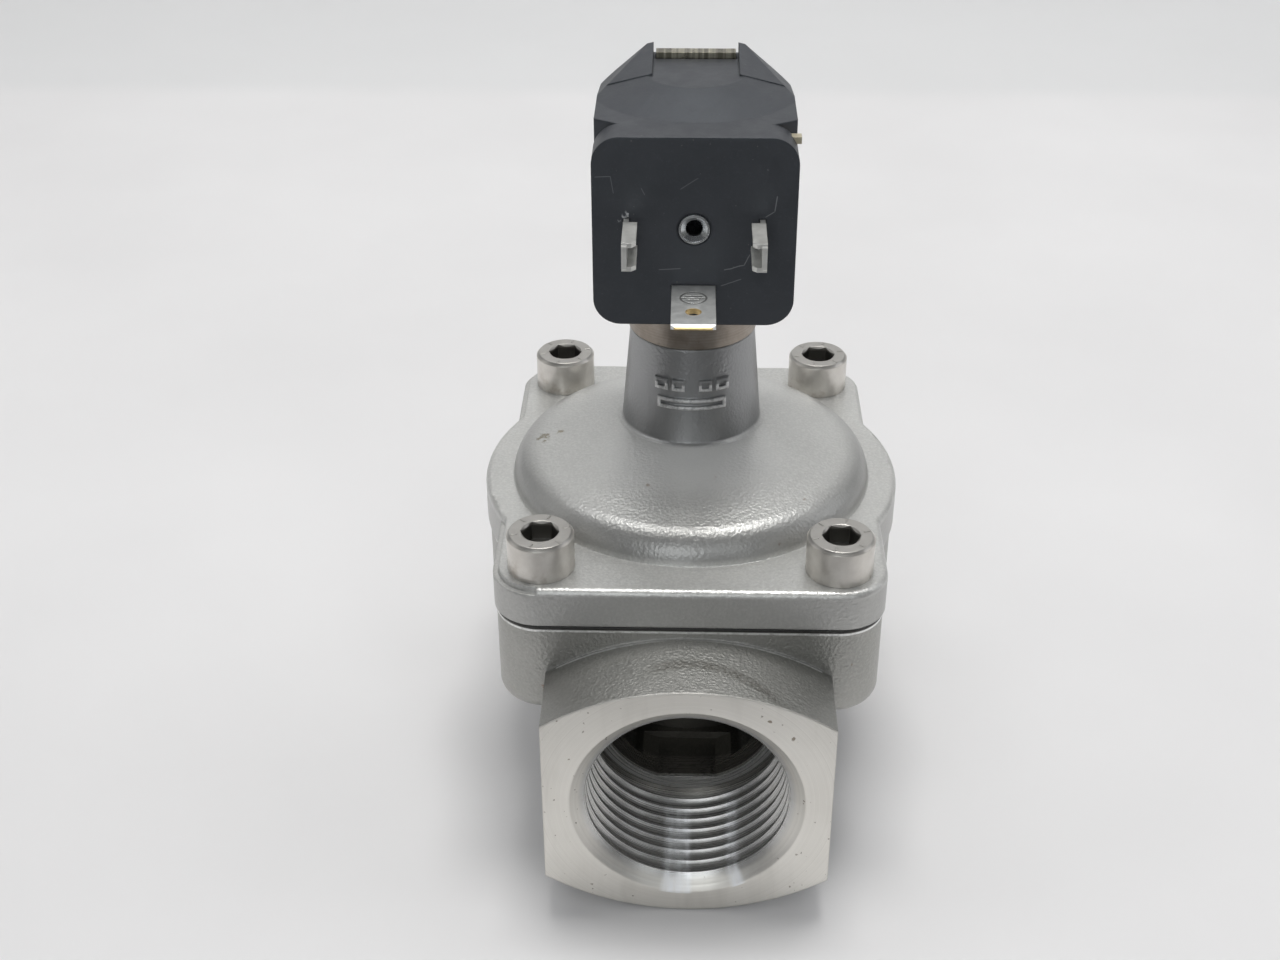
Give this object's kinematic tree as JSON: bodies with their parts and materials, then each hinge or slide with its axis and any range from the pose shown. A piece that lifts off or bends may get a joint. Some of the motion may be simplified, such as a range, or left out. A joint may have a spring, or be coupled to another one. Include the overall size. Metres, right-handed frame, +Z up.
{
  "type": "solenoid valve",
  "caption": "Servo-assisted 2/2-way solenoid valve: cast steel body with two threaded ports, bolted domed cover with a neck, and a black plug-in coil.",
  "frame": {"origin": "on the surface that the valve stands on, under the middle of the body", "axes": "+Z up along the armature, -Y out of the inlet port, +Y out of the outlet port, +X to the right seen from the inlet"},
  "size_m": [0.066, 0.095, 0.1152],
  "materials": {
    "cast_stainless": "stainless steel, investment cast, blasted",
    "screw_steel": "stainless steel A2, cold formed",
    "turned_steel": "stainless steel, turned",
    "turned_collar": "stainless steel, turned, slightly tarnished",
    "rubber_black": "NBR or EPDM rubber",
    "spring_steel": "stainless spring wire",
    "nozzle_brass": "brass",
    "copper": "copper",
    "coil_plastic": "black epoxy or polyamide moulding compound",
    "bobbin_plastic": "glass-filled polyamide",
    "yoke_steel": "zinc-plated steel",
    "clip_steel": "passivated spring steel",
    "contact_tin": "brass, tin plated"
  },
  "bodies": {
    "valve": {"valve_body": "cast_stainless", "valve_cover": "cast_stainless", "cover_screws": "screw_steel", "diaphragm": "rubber_black", "closing_spring": "spring_steel", "pilot_nozzle": "nozzle_brass", "tube_o_ring": "rubber_black", "guide_tube": "turned_steel", "tube_gland": "turned_collar", "fixed_core": "turned_steel", "shading_ring": "copper", "plunger_spring": "spring_steel"},
    "main_disc": {"support_plate": "turned_steel", "seat_disc": "rubber_black", "clamp_washer": "turned_steel", "disc_bolt": "screw_steel", "disc_nut": "screw_steel"},
    "plunger": {"plunger": "turned_steel", "plunger_seal": "rubber_black"},
    "coil": {"coil_seal": "rubber_black", "coil_housing": "coil_plastic", "coil_bobbin": "bobbin_plastic", "coil_winding": "copper", "magnet_yoke": "yoke_steel", "pole_plate": "yoke_steel", "retaining_clip": "clip_steel", "terminal_left": "contact_tin", "terminal_right": "contact_tin", "earth_terminal": "contact_tin", "connector_insert": "contact_tin"}
  },
  "joints": [
    {"name": "main_valve_lift", "type": "slide", "parent": "valve", "child": "main_disc", "axis": [0, 0, 1], "range_m": [0, 0.005], "stiffness_N_per_m": 500, "springref_m": -0.006, "deforming": ["closing_spring", "diaphragm"]},
    {"name": "plunger_lift", "type": "slide", "parent": "valve", "child": "plunger", "axis": [0, 0, 1], "range_m": [0, 0.0018], "stiffness_N_per_m": 300, "springref_m": -0.004, "deforming": ["plunger_spring"]},
    {"name": "coil_turn", "type": "hinge", "parent": "valve", "child": "coil", "pos_m": [0, 0.005, 0.0829], "axis": [0, 0, 1], "continuous": true}
  ]
}
